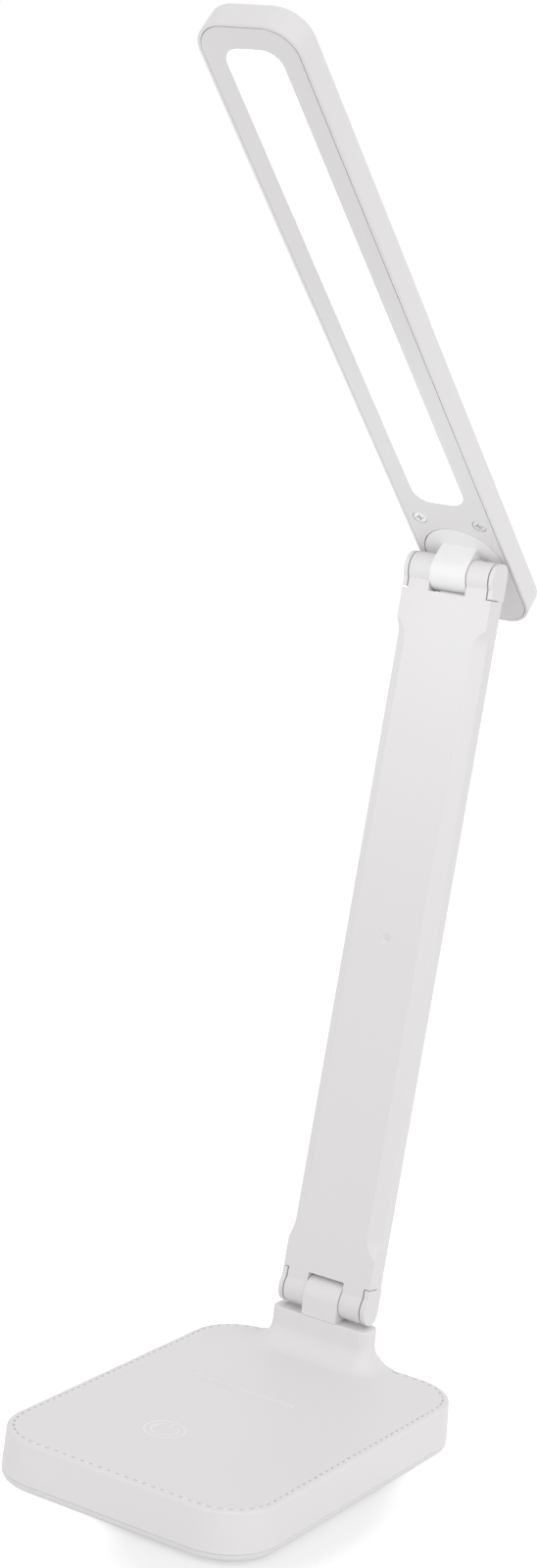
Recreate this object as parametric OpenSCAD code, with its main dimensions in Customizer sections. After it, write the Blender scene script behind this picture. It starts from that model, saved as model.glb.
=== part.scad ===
// Folding desk lamp: a weighted base, a flat folding arm and a slim light head.
// +Z is up, the lamp leans over the base towards -Y, and the origin is the
// middle of the base outline on the plane that the feet stand on.

/* [Base] */
// Width of the base at its top edge
base_w = 100; // [90:1:120]
// Depth of the base at its top edge
base_d = 141; // [135:0.5:160]
// Height of the base top above the desk
base_h = 17.6; // [17:0.1:20]
// Corner radius of the base outline
base_r = 19; // [14:1:24]
// How much the base widens on each side towards its foot
base_draft = 0.6; // [0:0.1:1]
// Rounding of the top edge of the base
base_edge_r = 1; // [0.6:0.1:2]
// Height of the rubber feet
foot_h = 1; // [0.8:0.1:1.5]
// Radius of the rubber feet
foot_r = 6; // [4:0.5:8]
// Depth of the rubber foot seat in the bottom cover
foot_seat = 0.6; // [0.4:0.1:0.8]
// Height of the band of the bottom cover that shows round the base
band_h = 2.8; // [2.4:0.1:3.2]
// Rounding of the lower edge of the bottom cover
band_r = 2.2; // [1:0.1:2.3]
// Wall of the base cover
base_wall = 2; // [1.6:0.1:2.4]
// Distance of the stitched groove from the top edge
stitch_inset = 2.2; // [2.1:0.1:3]
// Width of the stitched groove
stitch_w = 0.5; // [0.4:0.1:1]
// Depth of the stitched groove
stitch_depth = 0.35; // [0.2:0.05:0.5]
// Length of the rib that stops a phone
rib_len = 40.5; // [30:0.5:50]
// Width of the rib
rib_w = 1.6; // [1.2:0.1:2.4]
// Height of the rib
rib_h = 0.7; // [0.5:0.1:0.9]
// How far behind the base centre the rib stands
rib_y = 16.3; // [10:0.1:24]
// Distance of the rib and the touch mark from the middle of the base
mark_x = -7.5; // [-12:0.1:12]
// Distance of the cover screws from the sides of the base
screw_edge = 7.5; // [7:0.1:9]
// Distance between the front and the rear cover screws
screw_span = 80; // [70:1:84]
// Length of the cover screws
base_screw_len = 9; // [8:0.5:10]
// Distance of the feet from the sides of the base
foot_side = 12.5; // [11:0.5:15]
// Distance of the feet from the front and rear of the base
foot_end = 13.3; // [12:0.1:16]
// Radius of the ring of the touch mark
touch_r = 7; // [5:0.5:8]
// How far in front of the base centre the touch mark lies
touch_front = 29.6; // [24:0.1:34]

/* [Neck] */
// Sideways offset of the lamp's middle plane from the base centre
stem_x = -6.5; // [-10:0.5:0]
// Width of the neck
neck_w = 38.8; // [37:0.2:40]
// Radius of the upright corners of the neck
neck_r = 3.2; // [2:0.1:4]
// Rounding of the top edge of the neck
neck_edge_r = 0.7; // [0.4:0.1:1]
// Radius of the concave foot of the neck
neck_flare = 8; // [6:0.5:10]
// Gap between the neck top and the arm's end barrel
neck_gap = 1; // [0.8:0.1:3]

/* [Hinges] */
// Distance of the lower hinge axis in front of the base's rear face
hinge_back = 3.44; // [3.4:0.02:5]
// Height of the lower hinge axis above the desk
hinge_z = 37.91; // [37:0.01:45]
// Radius of the arm's end barrels
barrel_r = 5.84; // [5.5:0.02:6]
// Radius of the middle knuckles
knuckle_r = 6.5; // [6.3:0.1:6.7]
// Width of the middle knuckles
knuckle_w = 13.8; // [12:0.1:15]
// Radius of the hinge pins
pin_r = 1.5; // [1.2:0.1:1.6]
// Thickness of the friction clips on the pins
clip_t = 0.8; // [0.6:0.1:1]
// Backward lean of the arm in the photographed pose
arm_lean = 7.89; // [0:0.01:20]
// Forward lean of the light head in the photographed pose
head_lean = 46.64; // [0:0.1:80]

/* [Arm] */
// Distance between the two hinge axes
arm_len = 254.54; // [250:0.02:300]
// Width of the arm
arm_w = 35; // [34.6:0.2:36.4]
// Distance of the arm's front face from the hinge axis
arm_front = 4.62; // [4.4:0.02:4.8]
// Distance of the arm's rear face from the hinge axis
arm_back = 4.4; // [4.2:0.05:4.6]
// Width of the bevel along each front edge, seen from the front
bevel_w = 4.4; // [3.4:0.1:4.6]
// Depth of that bevel
bevel_d = 3; // [2:0.1:3.2]
// Distance from a hinge axis to the full bevel
bevel_start = 24.5; // [22:0.5:30]
// Length over which the bevel runs out
bevel_run = 7; // [5:0.5:9]
// Thickness of the cheeks outside the end barrels
cheek_w = 1.7; // [1.6:0.05:2.2]
// Place of the seam between the arm's shells, behind the hinge axis
seam_back = 0.8; // [0.5:0.1:1]
// Wall of the arm's shells
arm_wall = 1.6; // [1.4:0.1:1.7]
// Radius of the round dimple in the arm's front face
dimple_r = 2.1; // [1.5:0.1:3]
// Depth of the dimple
dimple_depth = 0.6; // [0.4:0.05:0.8]
// Radius of the round pip in the middle of the dimple
pip_r = 0.5; // [0.4:0.05:0.6]

/* [Head] */
// Length of the light head
head_len = 266.8; // [260:0.2:280]
// Width of the light head
head_w = 35.8; // [35:0.2:38]
// Thickness of the light head
head_t = 9.6; // [9.4:0.1:11]
// Corner radius of the light head
head_r = 11.1; // [9:0.1:14]
// Rounding of the top edge of the light head
head_edge_r = 1.6; // [1:0.1:2]
// How far the light head reaches behind the upper hinge axis
head_tail = 32.3; // [30:0.1:34]
// Distance of the head's underside from the upper hinge axis
head_off = 7.07; // [6.9:0.01:7.4]
// Width of the rim of the head shell round its bezel
rim_w = 1.15; // [1:0.05:1.3]
// Wall of the head shell's top
head_wall = 1.6; // [1.4:0.1:1.8]
// Thickness of the bezel
bezel_t = 1.5; // [1.3:0.1:1.7]
// Width of the light opening
light_w = 19.6; // [17:0.2:21]
// Length of the light opening
light_len = 197; // [185:1:200]
// Distance from the hinge axis to the near end of the light opening
light_start = 28.2; // [27:0.1:30]
// Corner radius of the light opening
light_r = 6.1; // [4:0.1:8]
// Distance of the bezel screws from the hinge axis
screw_s = 18.8; // [18.4:0.1:20]
// Distance between the two bezel screws
screw_gap = 23.1; // [22:0.1:24]

/* [Swivel] */
// Radius of the swivel disc in the bezel
disc_r = 14.85; // [14:0.05:15]
// Radius of the swivel hub
hub_r = 5; // [4:0.1:6]
// Thickness of the washer under the swivel disc
washer_t = 0.3; // [0.2:0.05:0.35]
// Thickness of the floor of the swivel bearing
bearing_t = 1.9; // [1.6:0.1:2.1]
// Thickness of the clip that holds the swivel hub
hub_clip_t = 0.8; // [0.6:0.1:0.9]

/* [Insides] */
// Gap between the ballast plate and the screw bosses beside it
ballast_side = 3.5; // [2:0.5:8]
// Gap between the ballast plate and the front wall
ballast_front = 10.2; // [8:0.1:20]
// Thickness of the ballast plate
ballast_t = 6; // [4:0.5:6.5]
// Width of the battery
battery_w = 48; // [40:1:54]
// Depth of the battery
battery_d = 34; // [26:1:35]
// Thickness of the battery
battery_t = 9.5; // [8:0.5:10]
// Gap between the battery and its neighbours
inner_gap = 2; // [1:0.5:3]
// Width of the control board
board_w = 50; // [44:1:60]
// Depth of the control board
board_d = 31; // [28:1:33]
// Thickness of the control board
board_t = 1.6; // [1:0.2:2]
// Height of the control board above the desk
board_z = 7.2; // [6.6:0.1:7.6]
// Distance of the control board's holes from its edges
board_hole_edge = 4.8; // [4:0.1:6]
// Height of the tallest piece on the control board
coil_h = 5; // [3:0.5:5]
// Width of the charging socket
usb_w = 8.94; // [8.9:0.02:9]
// Height of the charging socket
usb_h = 3.2; // [3.1:0.05:3.3]
// Depth of the charging socket
usb_l = 7.35; // [7:0.05:8]
// Thickness of the steel strip in the arm
stiff_t = 1; // [0.8:0.1:1.2]
// Length of the arm's screws
arm_screw_len = 5.8; // [5.2:0.1:6]
// Length of the bezel screws
bezel_screw_len = 4.8; // [4:0.1:5]
// Number of light-emitting diodes along the board
led_count = 28; // [16:1:32]

/* [Clearances] */
// Gap between the middle knuckles and the arm's barrels
side_gap = 0.25; // [0.2:0.05:0.3]
// Gap between a middle knuckle and the end of its slot
slot_gap = 0.64; // [0.5:0.02:0.8]
// Gap between the barrels and the cheeks
cheek_gap = 0.5; // [0.4:0.05:0.6]
// Running clearance of a pin in what turns on it
run_gap = 0.05; // [0.03:0.01:0.08]
// Gap round a piece that drops into another
seat_gap = 0.15; // [0.1:0.05:0.2]
// Visible gap round the swivel disc
disc_gap = 0.3; // [0.25:0.05:0.35]

/* [Hidden] */
$fn = 64;
eps = 0.01; // overlap that joins the solids of one piece
over = 1; // how far a cutting solid runs past a face

shell_white = [0.92, 0.91, 0.905];
steel = [0.72, 0.73, 0.75];
rubber_grey = [0.32, 0.32, 0.33];

// base
rear_y = base_d / 2;
cover_z = foot_h + band_h + seat_gap;
floor_top = foot_h + band_h;
roof_z = base_h - base_wall;
screw_x = base_w / 2 - screw_edge;
screw_y = screw_span / 2;
foot_x = base_w / 2 - foot_side;
foot_y = base_d / 2 - foot_end;
foot_bevel = 0.4;
boss_r = 3;
self_tap_r = 1.1;
tap_gap = 0.05; // how much thinner a screw is than its hole
screw_head_r = 2.4;
screw_head_t = 1.3;
screw_sink = 0.2;
cover_step = 0.1; // how far the bottom cover stands back
band_edge = base_r + base_draft - cover_step;
lip_h = 1.4;
lip_t = 1.2;
usb_z = board_z + board_t;
usb_wall = 0.3;
board_x = board_w / 2 - board_hole_edge;
board_y = board_d / 2 - board_hole_edge;
board_back = rear_y - base_wall - 1.75;
battery_y = board_back - board_d - inner_gap - battery_d;
ballast_w = 2 * (screw_x - boss_r - ballast_side);
ballast_back = battery_y - inner_gap;
ballast_d = ballast_back + rear_y - base_wall - ballast_front;
touch_y = -touch_front;
touch_t = 0.4;

// hinges
hinge_y = rear_y - hinge_back;
slot_end = knuckle_r + slot_gap;
slot_w = knuckle_w + 2 * side_gap;
barrel_out = arm_w / 2 - cheek_w - cheek_gap;
pin_seat = 1; // how far a pin reaches into each cheek
pin_len = 2 * (arm_w / 2 - cheek_w + pin_seat);
pin_hole_r = pin_r + 0.02;
clip_r = pin_r + run_gap + clip_t;
clip_len = knuckle_w - 1.8;
neck_top = hinge_z - barrel_r - neck_gap;
neck_front = hinge_y - knuckle_r;
neck_d = rear_y - neck_front;
tenon_step = 1.8; // how far the tenon stands back from the post
tenon_w = knuckle_w - 2 * tenon_step;
tenon_d = neck_d - 2 * tenon_step;
tenon_h = 8;
post_step = 0.35; // distance of the knuckle's rear from the neck's rear
post_screw_r = 1.15;
post_screw_head_r = 2.9;
post_screw_head_t = 1.6;
post_screw_in = 5.9; // how far the screw reaches into the tenon
clip_slit = 0.8;

// arm
rear_shift = 1.4; // place of the centre of an end's rear rounding
rear_round = arm_back + rear_shift;
rear_soft = 1; // rounding along the rear shell's edges
cheek_end = 0.3; // gap between a cheek and the front shell above it
cavity_w = arm_w - 9;
cavity_end = 13;
arm_screw_x = 8;
arm_screw_s = 21;
arm_boss_r = 2.6;
arm_screw_head_r = 2.1;
arm_screw_head_t = 0.8;
arm_screw_sink = 0.1;
bevel_depth = bevel_w * bevel_d / sqrt(bevel_w * bevel_w + bevel_d * bevel_d);
bevel_arc = (bevel_run * bevel_run + bevel_depth * bevel_depth) / (2 * bevel_depth);
bevel_angle = atan2(bevel_d, bevel_w);
bevel_side = 3; // how far the bevel's cutter starts outside the edge
dimple_ball = (dimple_r * dimple_r + dimple_depth * dimple_depth) / (2 * dimple_depth);
stiff_w = cavity_w - 2;
stiff_len = arm_len - 2 * cavity_end - 2;
stiff_holes = 6;
stiff_hole_r = 5;
wire_r = 0.9;
wire_gap = 0.1;

// head
inner_w = head_w - 2 * rim_w;
inner_r = head_r - rim_w;
inner_t = head_t - head_wall;
bezel_w = inner_w - 2 * seat_gap;
bezel_r = inner_r - seat_gap;
flange = 2;
flange_t = 1;
reflector_t = 2.4;
led_t = 0.7;
led_w = 2.8;
led_l = 3.5;
led_board_t = 1;
led_board_w = 12;
led_board_len = light_len - 8;
bezel_boss_r = 2.8;
bezel_screw_top = 0.25; // how far the screw heads lie below the underside
bezel_head_t = 0.65;
diffuser_sink = 0.35;
bearing_rim = 1.6;
hub_groove = 0.8;
clip_reach = 2.4; // how far the open ring stands out from the hub
clip_mouth = 5;
wire_bore_r = 2.2;
led_pitch = led_board_len / led_count;
bearing_in = bezel_t + 2 * run_gap + washer_t;
clip_in = bearing_in + bearing_t + 2 * run_gap;

// ---- places ----

// the lower hinge axis, along X, with local +Z up
module at_lower_hinge() {
  translate([stem_x, hinge_y, hinge_z]) children();
}

// the arm's own frame: local +Z runs up the arm and local -Y is its front
module at_arm() {
  at_lower_hinge() rotate([-arm_lean, 0, 0]) children();
}

// the upper hinge axis with the head's own directions:
// local +Z runs out along the head and local -Y is where the light goes
module at_upper_hinge() {
  at_arm() translate([0, 0, arm_len]) rotate([arm_lean + head_lean, 0, 0]) children();
}

// the head's underside plane, turned so that local XY is that plane,
// local +Y runs out along the head and local +Z goes up into the head
module at_head() {
  at_upper_hinge() translate([0, head_off, 0]) rotate([90, 0, 0]) mirror([0, 0, 1]) children();
}

// ---- shared shapes ----

// sweeps a profile round a rounded rectangle: profile x = 0 is the corner
// centre, x = r is the outline, and profile y is height
module round_sweep(w, l, r) {
  for (i = [0 : 3]) {
    sx = (i == 0 || i == 3) ? 1 : -1;
    sy = (i < 2) ? 1 : -1;
    translate([sx * (w / 2 - r), sy * (l / 2 - r), 0])
      rotate([0, 0, 90 * i]) rotate_extrude(angle = 90) children();
  }
  for (s = [0, 1]) {
    rotate([0, 0, 180 * s]) translate([w / 2 - r, l / 2 - r, 0])
      rotate([90, 0, 0]) linear_extrude(l - 2 * r) children();
    rotate([0, 0, 90 + 180 * s]) translate([l / 2 - r, w / 2 - r, 0])
      rotate([90, 0, 0]) linear_extrude(w - 2 * r) children();
  }
}

// flat plate with round upright corners, centred, from z = 0 to z = t
module round_plate(w, l, r, t) {
  linear_extrude(t) round_outline(w, l, r);
}

module round_outline(w, l, r) {
  square([w - 2 * r, l], center = true);
  square([w, l - 2 * r], center = true);
  for (x = [-1, 1]) for (y = [-1, 1])
    translate([x * (w / 2 - r), y * (l / 2 - r)]) circle(r);
}

// a screw along -Z with its head's top at z = 0 and a cross recess in it
module cross_screw(head_r, head_t, shank_r, len) {
  difference() {
    union() {
      translate([0, 0, -head_t]) cylinder(r = head_r, h = head_t);
      translate([0, 0, -len]) cylinder(r = shank_r, h = len - head_t + eps);
    }
    for (a = [0, 90])
      rotate([0, 0, a]) translate([-head_r * 0.6, -head_r / 8, -head_t * 0.75])
        cube([head_r * 1.2, head_r / 4, head_t + over]);
  }
}

// ---- base ----

// section of the base from the corner centre outwards
module base_section() {
  polygon([[0, cover_z], [base_r + base_draft, cover_z],
    [base_r, base_h - base_edge_r], [0, base_h - base_edge_r]]);
  translate([0, base_h - base_edge_r - eps]) square([base_r - base_edge_r, base_edge_r + eps]);
  translate([base_r - base_edge_r, base_h - base_edge_r]) circle(base_edge_r);
}

// section of the neck from the corner centre outwards: a round top edge and
// a concave foot that runs out into the base top
module neck_section() {
  column_h = neck_top - roof_z;
  translate([0, roof_z]) square([neck_r, column_h - neck_edge_r]);
  translate([0, roof_z]) square([neck_r - neck_edge_r, column_h]);
  translate([neck_r - neck_edge_r, neck_top - neck_edge_r]) circle(neck_edge_r);
  difference() {
    translate([0, base_h - eps]) square([neck_r + neck_flare, neck_flare + eps]);
    translate([neck_r + neck_flare, base_h + neck_flare]) circle(neck_flare);
  }
}

// a full column with a concave foot, cut flush with the rear of the base
module neck() {
  intersection() {
    translate([stem_x, neck_front + neck_d / 2, 0]) {
      round_sweep(neck_w, neck_d, neck_r) neck_section();
      translate([-neck_w / 2 + neck_r, -neck_d / 2 + neck_r, roof_z])
        cube([neck_w - 2 * neck_r, neck_d - 2 * neck_r, neck_top - roof_z]);
    }
    translate([-base_w, -base_d, 0]) cube([2 * base_w, base_d + rear_y, 2 * hinge_z]);
  }
}

module base_cover() {
  color(shell_white) difference() {
    union() {
      difference() {
        union() {
          round_sweep(base_w, base_d, base_r) base_section();
          translate([0, 0, cover_z]) linear_extrude(base_h - cover_z)
            square([base_w - 2 * base_r, base_d - 2 * base_r], center = true);
        }
        translate([0, 0, cover_z - over])
          round_plate(base_w - 2 * base_wall, base_d - 2 * base_wall,
            base_r - base_wall, roof_z - cover_z + over);
        stitch_groove();
      }
      neck();
      for (x = [-1, 1]) for (y = [-1, 1])
        translate([x * screw_x, y * screw_y, cover_z]) cylinder(r = boss_r, h = roof_z - cover_z + eps);
      translate([mark_x, rib_y, base_h + rib_h - rib_w / 2]) touch_rib();
    }
    for (x = [-1, 1]) for (y = [-1, 1])
      translate([x * screw_x, y * screw_y, cover_z - over])
        cylinder(r = self_tap_r, h = base_screw_len + over);
    translate([stem_x - tenon_w / 2 - seat_gap, neck_front + tenon_step - seat_gap,
               neck_top - tenon_h - seat_gap])
      cube([tenon_w + 2 * seat_gap, tenon_d + 2 * seat_gap, tenon_h + over]);
    translate([stem_x, neck_front + neck_d / 2, roof_z - over])
      cylinder(r = post_screw_r + 0.5, h = neck_top - tenon_h - roof_z + over);
    translate([stem_x - usb_w / 2 - seat_gap, rear_y - 2 * base_wall, usb_z - seat_gap])
      rotate([-90, 0, 0]) translate([0, -usb_h - 2 * seat_gap, 0])
        usb_outline(usb_w + 2 * seat_gap, usb_h + 2 * seat_gap, 3 * base_wall);
  }
}

// a bar with round ends along X, half sunk in the base top
module touch_rib() {
  rotate([0, 90, 0]) rotate_extrude() intersection() {
    union() {
      square([rib_w, rib_len - rib_w], center = true);
      for (y = [-1, 1]) translate([0, y * (rib_len - rib_w) / 2]) circle(rib_w / 2);
    }
    translate([0, -rib_len]) square([rib_w, 2 * rib_len]);
  }
}

module stitch_groove() {
  round_sweep(base_w, base_d, base_r)
    translate([base_r - stitch_inset - stitch_w / 2, base_h - stitch_depth])
      square([stitch_w, stitch_depth + over]);
}

// a plug shape with round ends, its corner at the origin, along +Z
module usb_outline(w, h, l) {
  linear_extrude(l) {
    translate([h / 2, 0]) square([w - h, h]);
    for (x = [h / 2, w - h / 2]) translate([x, h / 2]) circle(h / 2);
  }
}

module bottom_cover() {
  color(shell_white) difference() {
    union() {
      round_sweep(base_w, base_d, base_r) intersection() {
        translate([0, foot_h]) square([band_edge, band_h]);
        union() {
          translate([band_edge - band_r, foot_h + band_r]) circle(band_r);
          translate([0, foot_h + band_r]) square([band_edge, band_h]);
          translate([0, foot_h]) square([band_edge - band_r, band_h]);
        }
      }
      translate([0, 0, foot_h]) linear_extrude(band_h)
        square([base_w - 2 * base_r, base_d - 2 * base_r], center = true);
      translate([0, 0, floor_top - eps]) locating_lip();
      for (x = [-1, 1]) for (y = [-1, 1])
        translate([x * board_x, board_back - board_d / 2 + y * board_y, floor_top - eps])
          cylinder(r = 2 * self_tap_r, h = board_z - floor_top + eps);
    }
    for (x = [-1, 1]) for (y = [-1, 1]) {
      translate([x * foot_x, y * foot_y, foot_h - over])
        cylinder(r = foot_r + seat_gap, h = foot_seat + over);
      translate([x * screw_x, y * screw_y, foot_h - over])
        cylinder(r = self_tap_r + 2 * seat_gap, h = band_h + 3 * over);
      translate([x * screw_x, y * screw_y, foot_h - over])
        cylinder(r = screw_head_r + 2 * seat_gap, h = screw_head_t + screw_sink + over);
    }
  }
}

// low wall on the bottom cover that centres the base cover
module locating_lip() {
  lip_w = base_w - 2 * base_wall - 2 * seat_gap;
  lip_d = base_d - 2 * base_wall - 2 * seat_gap;
  lip_r = base_r - base_wall - seat_gap;
  linear_extrude(lip_h) difference() {
    round_outline(lip_w, lip_d, lip_r);
    round_outline(lip_w - 2 * lip_t, lip_d - 2 * lip_t, lip_r - lip_t);
  }
}

module rubber_feet() {
  color(rubber_grey) for (x = [-1, 1]) for (y = [-1, 1])
    translate([x * foot_x, y * foot_y, 0]) {
      translate([0, 0, foot_bevel]) cylinder(r = foot_r, h = foot_h + foot_seat - foot_bevel);
      cylinder(r1 = foot_r - foot_bevel, r2 = foot_r, h = foot_bevel);
    }
}

module base_screws() {
  color(steel) for (x = [-1, 1]) for (y = [-1, 1])
    translate([x * screw_x, y * screw_y, foot_h + screw_sink])
      rotate([180, 0, 0]) cross_screw(screw_head_r, screw_head_t, self_tap_r - tap_gap, base_screw_len);
}

module ballast_plate() {
  hole_edge = 8;
  color(steel) translate([0, ballast_back - ballast_d / 2, floor_top])
    difference() {
      round_plate(ballast_w, ballast_d, hole_edge / 2, ballast_t);
      for (x = [-1, 1]) translate([x * (ballast_w / 2 - hole_edge), 0, -over])
        cylinder(r = hole_edge / 4, h = ballast_t + 2 * over);
    }
}

module battery_pack() {
  lead_w = battery_d / 3;
  color([0.45, 0.5, 0.62]) translate([0, battery_y + battery_d / 2, floor_top]) {
    round_plate(battery_w, battery_d, battery_t / 3, battery_t);
    translate([battery_w / 2 - eps, -lead_w / 2, battery_t / 4]) cube([battery_t / 5, lead_w, battery_t / 3]);
  }
}

module control_board() {
  color([0.16, 0.42, 0.26]) translate([0, board_back - board_d / 2, board_z]) {
    difference() {
      translate([-board_w / 2, -board_d / 2, 0]) cube([board_w, board_d, board_t]);
      for (x = [-1, 1]) for (y = [-1, 1])
        translate([x * board_x, y * board_y, -over]) cylinder(r = self_tap_r, h = board_t + 2 * over);
    }
    translate([-board_w / 4, -board_d / 3, board_t - eps]) cube([board_w / 7, board_w / 7, coil_h / 4]);
    translate([board_w / 6, -board_d / 3, board_t - eps]) cube([board_w / 6, board_w / 8, coil_h / 2]);
    translate([board_w / 3, board_d / 8, board_t - eps]) cylinder(r = coil_h / 2, h = coil_h);
    for (i = [0 : 3])
      translate([-board_w / 3 + i * board_w / 12, board_d / 8, board_t - eps])
        cube([board_w / 25, board_w / 40, coil_h / 5]);
  }
}

// shell of the charging inlet with its tongue inside
module usb_socket() {
  tongue_w = usb_w * 0.74;
  tongue_t = usb_h * 0.22;
  back_t = usb_l / 7;
  color(steel) translate([stem_x - usb_w / 2, rear_y - usb_l, usb_z]) {
    difference() {
      translate([0, 0, usb_h]) rotate([-90, 0, 0]) usb_outline(usb_w, usb_h, usb_l);
      translate([usb_wall, back_t, usb_h - usb_wall]) rotate([-90, 0, 0])
        usb_outline(usb_w - 2 * usb_wall, usb_h - 2 * usb_wall, usb_l);
    }
    translate([(usb_w - tongue_w) / 2, back_t - eps, (usb_h - tongue_t) / 2])
      cube([tongue_w, usb_l - 2 * back_t, tongue_t]);
  }
}

// sensing plate glued under the touch mark
module touch_sensor() {
  color([0.8, 0.6, 0.35]) translate([mark_x, touch_y, roof_z - touch_t])
    cylinder(r = touch_r, h = touch_t);
}

// ---- lower hinge ----

module base_knuckle() {
  post_back = rear_y - post_step;
  color(shell_white) difference() {
    union() {
      at_lower_hinge() rotate([0, 90, 0]) cylinder(r = knuckle_r, h = knuckle_w, center = true);
      translate([stem_x - knuckle_w / 2, neck_front, neck_top])
        cube([knuckle_w, post_back - neck_front, hinge_z - neck_top]);
      translate([stem_x - tenon_w / 2, neck_front + tenon_step, neck_top - tenon_h])
        cube([tenon_w, tenon_d, tenon_h + eps]);
    }
    at_lower_hinge() rotate([0, 90, 0])
      cylinder(r = clip_r + 0.02, h = knuckle_w + 2 * over, center = true);
    translate([stem_x, neck_front + neck_d / 2, neck_top - tenon_h - over])
      cylinder(r = post_screw_r + tap_gap, h = post_screw_in + 2 * over);
  }
}

module knuckle_screw() {
  len = post_screw_head_t + neck_top - tenon_h - roof_z + post_screw_in;
  color(steel) translate([stem_x, neck_front + neck_d / 2, roof_z - post_screw_head_t])
    rotate([180, 0, 0]) cross_screw(post_screw_head_r, post_screw_head_t, post_screw_r, len);
}

// a split spring tube that grips a hinge pin
module friction_clip() {
  color(steel) difference() {
    rotate([0, 90, 0]) cylinder(r = clip_r, h = clip_len, center = true);
    rotate([0, 90, 0]) cylinder(r = pin_r + run_gap, h = clip_len + 2 * over, center = true);
    translate([-clip_len / 2 - over, 0, -clip_slit / 2])
      cube([clip_len + 2 * over, clip_r + over, clip_slit]);
  }
}

module lower_friction_clip() {
  at_lower_hinge() friction_clip();
}

module hinge_pin() {
  color(steel) rotate([0, 90, 0]) cylinder(r = pin_r, h = pin_len, center = true);
}

module lower_hinge_pin() {
  at_arm() hinge_pin();
}

module upper_hinge_pin() {
  at_arm() translate([0, 0, arm_len]) hinge_pin();
}

// ---- arm ----

// side outline of an arm end, y to the rear and z down past the axis at the
// origin: a large barrel in front, softer behind, up to s = top
module end_outline(top) {
  intersection() {
    union() {
      circle(barrel_r);
      translate([-arm_front, 0]) square([arm_front + arm_back, top]);
    }
    union() {
      translate([-barrel_r - over, -barrel_r - over])
        square([barrel_r + over - rear_shift, 2 * barrel_r + top]);
      translate([-rear_shift, -rear_shift]) circle(rear_round);
      translate([-barrel_r - over, -rear_shift])
        square([barrel_r + over + arm_back, top + 2 * barrel_r]);
    }
  }
}

// the side outline given a width along X
module end_block(x0, x1, top) {
  translate([x0, 0, 0]) rotate([90, 0, 90]) linear_extrude(x1 - x0) end_outline(top);
}

// runs its children at both ends of the arm
module both_ends() {
  children();
  translate([0, 0, arm_len]) mirror([0, 0, 1]) children();
}

// cutting solid for the bevel along one front edge
module bevel_cut() {
  flat = arm_len - 2 * bevel_start;
  translate([arm_w / 2 - bevel_w, -arm_front, bevel_start])
    rotate([0, 0, bevel_angle]) translate([-bevel_side, 0, 0]) rotate([0, 90, 0])
      linear_extrude(bevel_w + bevel_d + 2 * bevel_side) {
        translate([-flat, -2 * bevel_arc]) square([flat, 2 * bevel_arc]);
        for (z = [0, flat]) translate([-z, -bevel_arc]) circle(bevel_arc, $fn = 128);
      }
}

module arm_front_shell() {
  color(shell_white) at_arm() {
    translate([0, -arm_front + dimple_depth, arm_len / 2]) sphere(pip_r);
    arm_front_body();
  }
}

// the front shell with its barrels, screw bosses and dimple
module arm_front_body() {
  difference() {
    union() {
      difference() {
        translate([-arm_w / 2, -arm_front, slot_end])
          cube([arm_w, arm_front + seam_back, arm_len - 2 * slot_end]);
        for (m = [0, 1]) mirror([m, 0, 0]) bevel_cut();
        translate([-cavity_w / 2, -arm_front + arm_wall, cavity_end])
          cube([cavity_w, 2 * arm_front, arm_len - 2 * cavity_end]);
      }
      both_ends() for (m = [0, 1]) mirror([m, 0, 0]) {
        end_block(slot_w / 2, barrel_out, slot_end - seat_gap);
        translate([slot_w / 2, -arm_front, slot_end - barrel_r / 2])
          cube([barrel_out - slot_w / 2, arm_front + seam_back, barrel_r / 2 + eps]);
        translate([arm_screw_x, -arm_front + arm_wall - eps, arm_screw_s]) rotate([-90, 0, 0])
          cylinder(r = arm_boss_r, h = arm_front + arm_back - 2 * arm_wall - seat_gap + eps);
      }
    }
    both_ends() {
      rotate([0, 90, 0]) cylinder(r = pin_hole_r, h = arm_w, center = true);
      for (m = [0, 1]) mirror([m, 0, 0])
        translate([arm_screw_x, arm_back - arm_screw_sink - arm_screw_len - tap_gap, arm_screw_s])
          rotate([-90, 0, 0]) cylinder(r = self_tap_r, h = 2 * arm_front);
    }
    translate([0, -arm_front + dimple_depth - dimple_ball, arm_len / 2]) sphere(dimple_ball);
  }
}

// section of the rear shell across the arm
module rear_section() {
  thick = arm_back - seam_back;
  translate([-arm_w / 2, seam_back]) square([arm_w, thick - rear_soft]);
  translate([-arm_w / 2 + rear_soft, seam_back]) square([arm_w - 2 * rear_soft, thick]);
  for (x = [-1, 1]) translate([x * (arm_w / 2 - rear_soft), arm_back - rear_soft]) circle(rear_soft);
}

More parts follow.
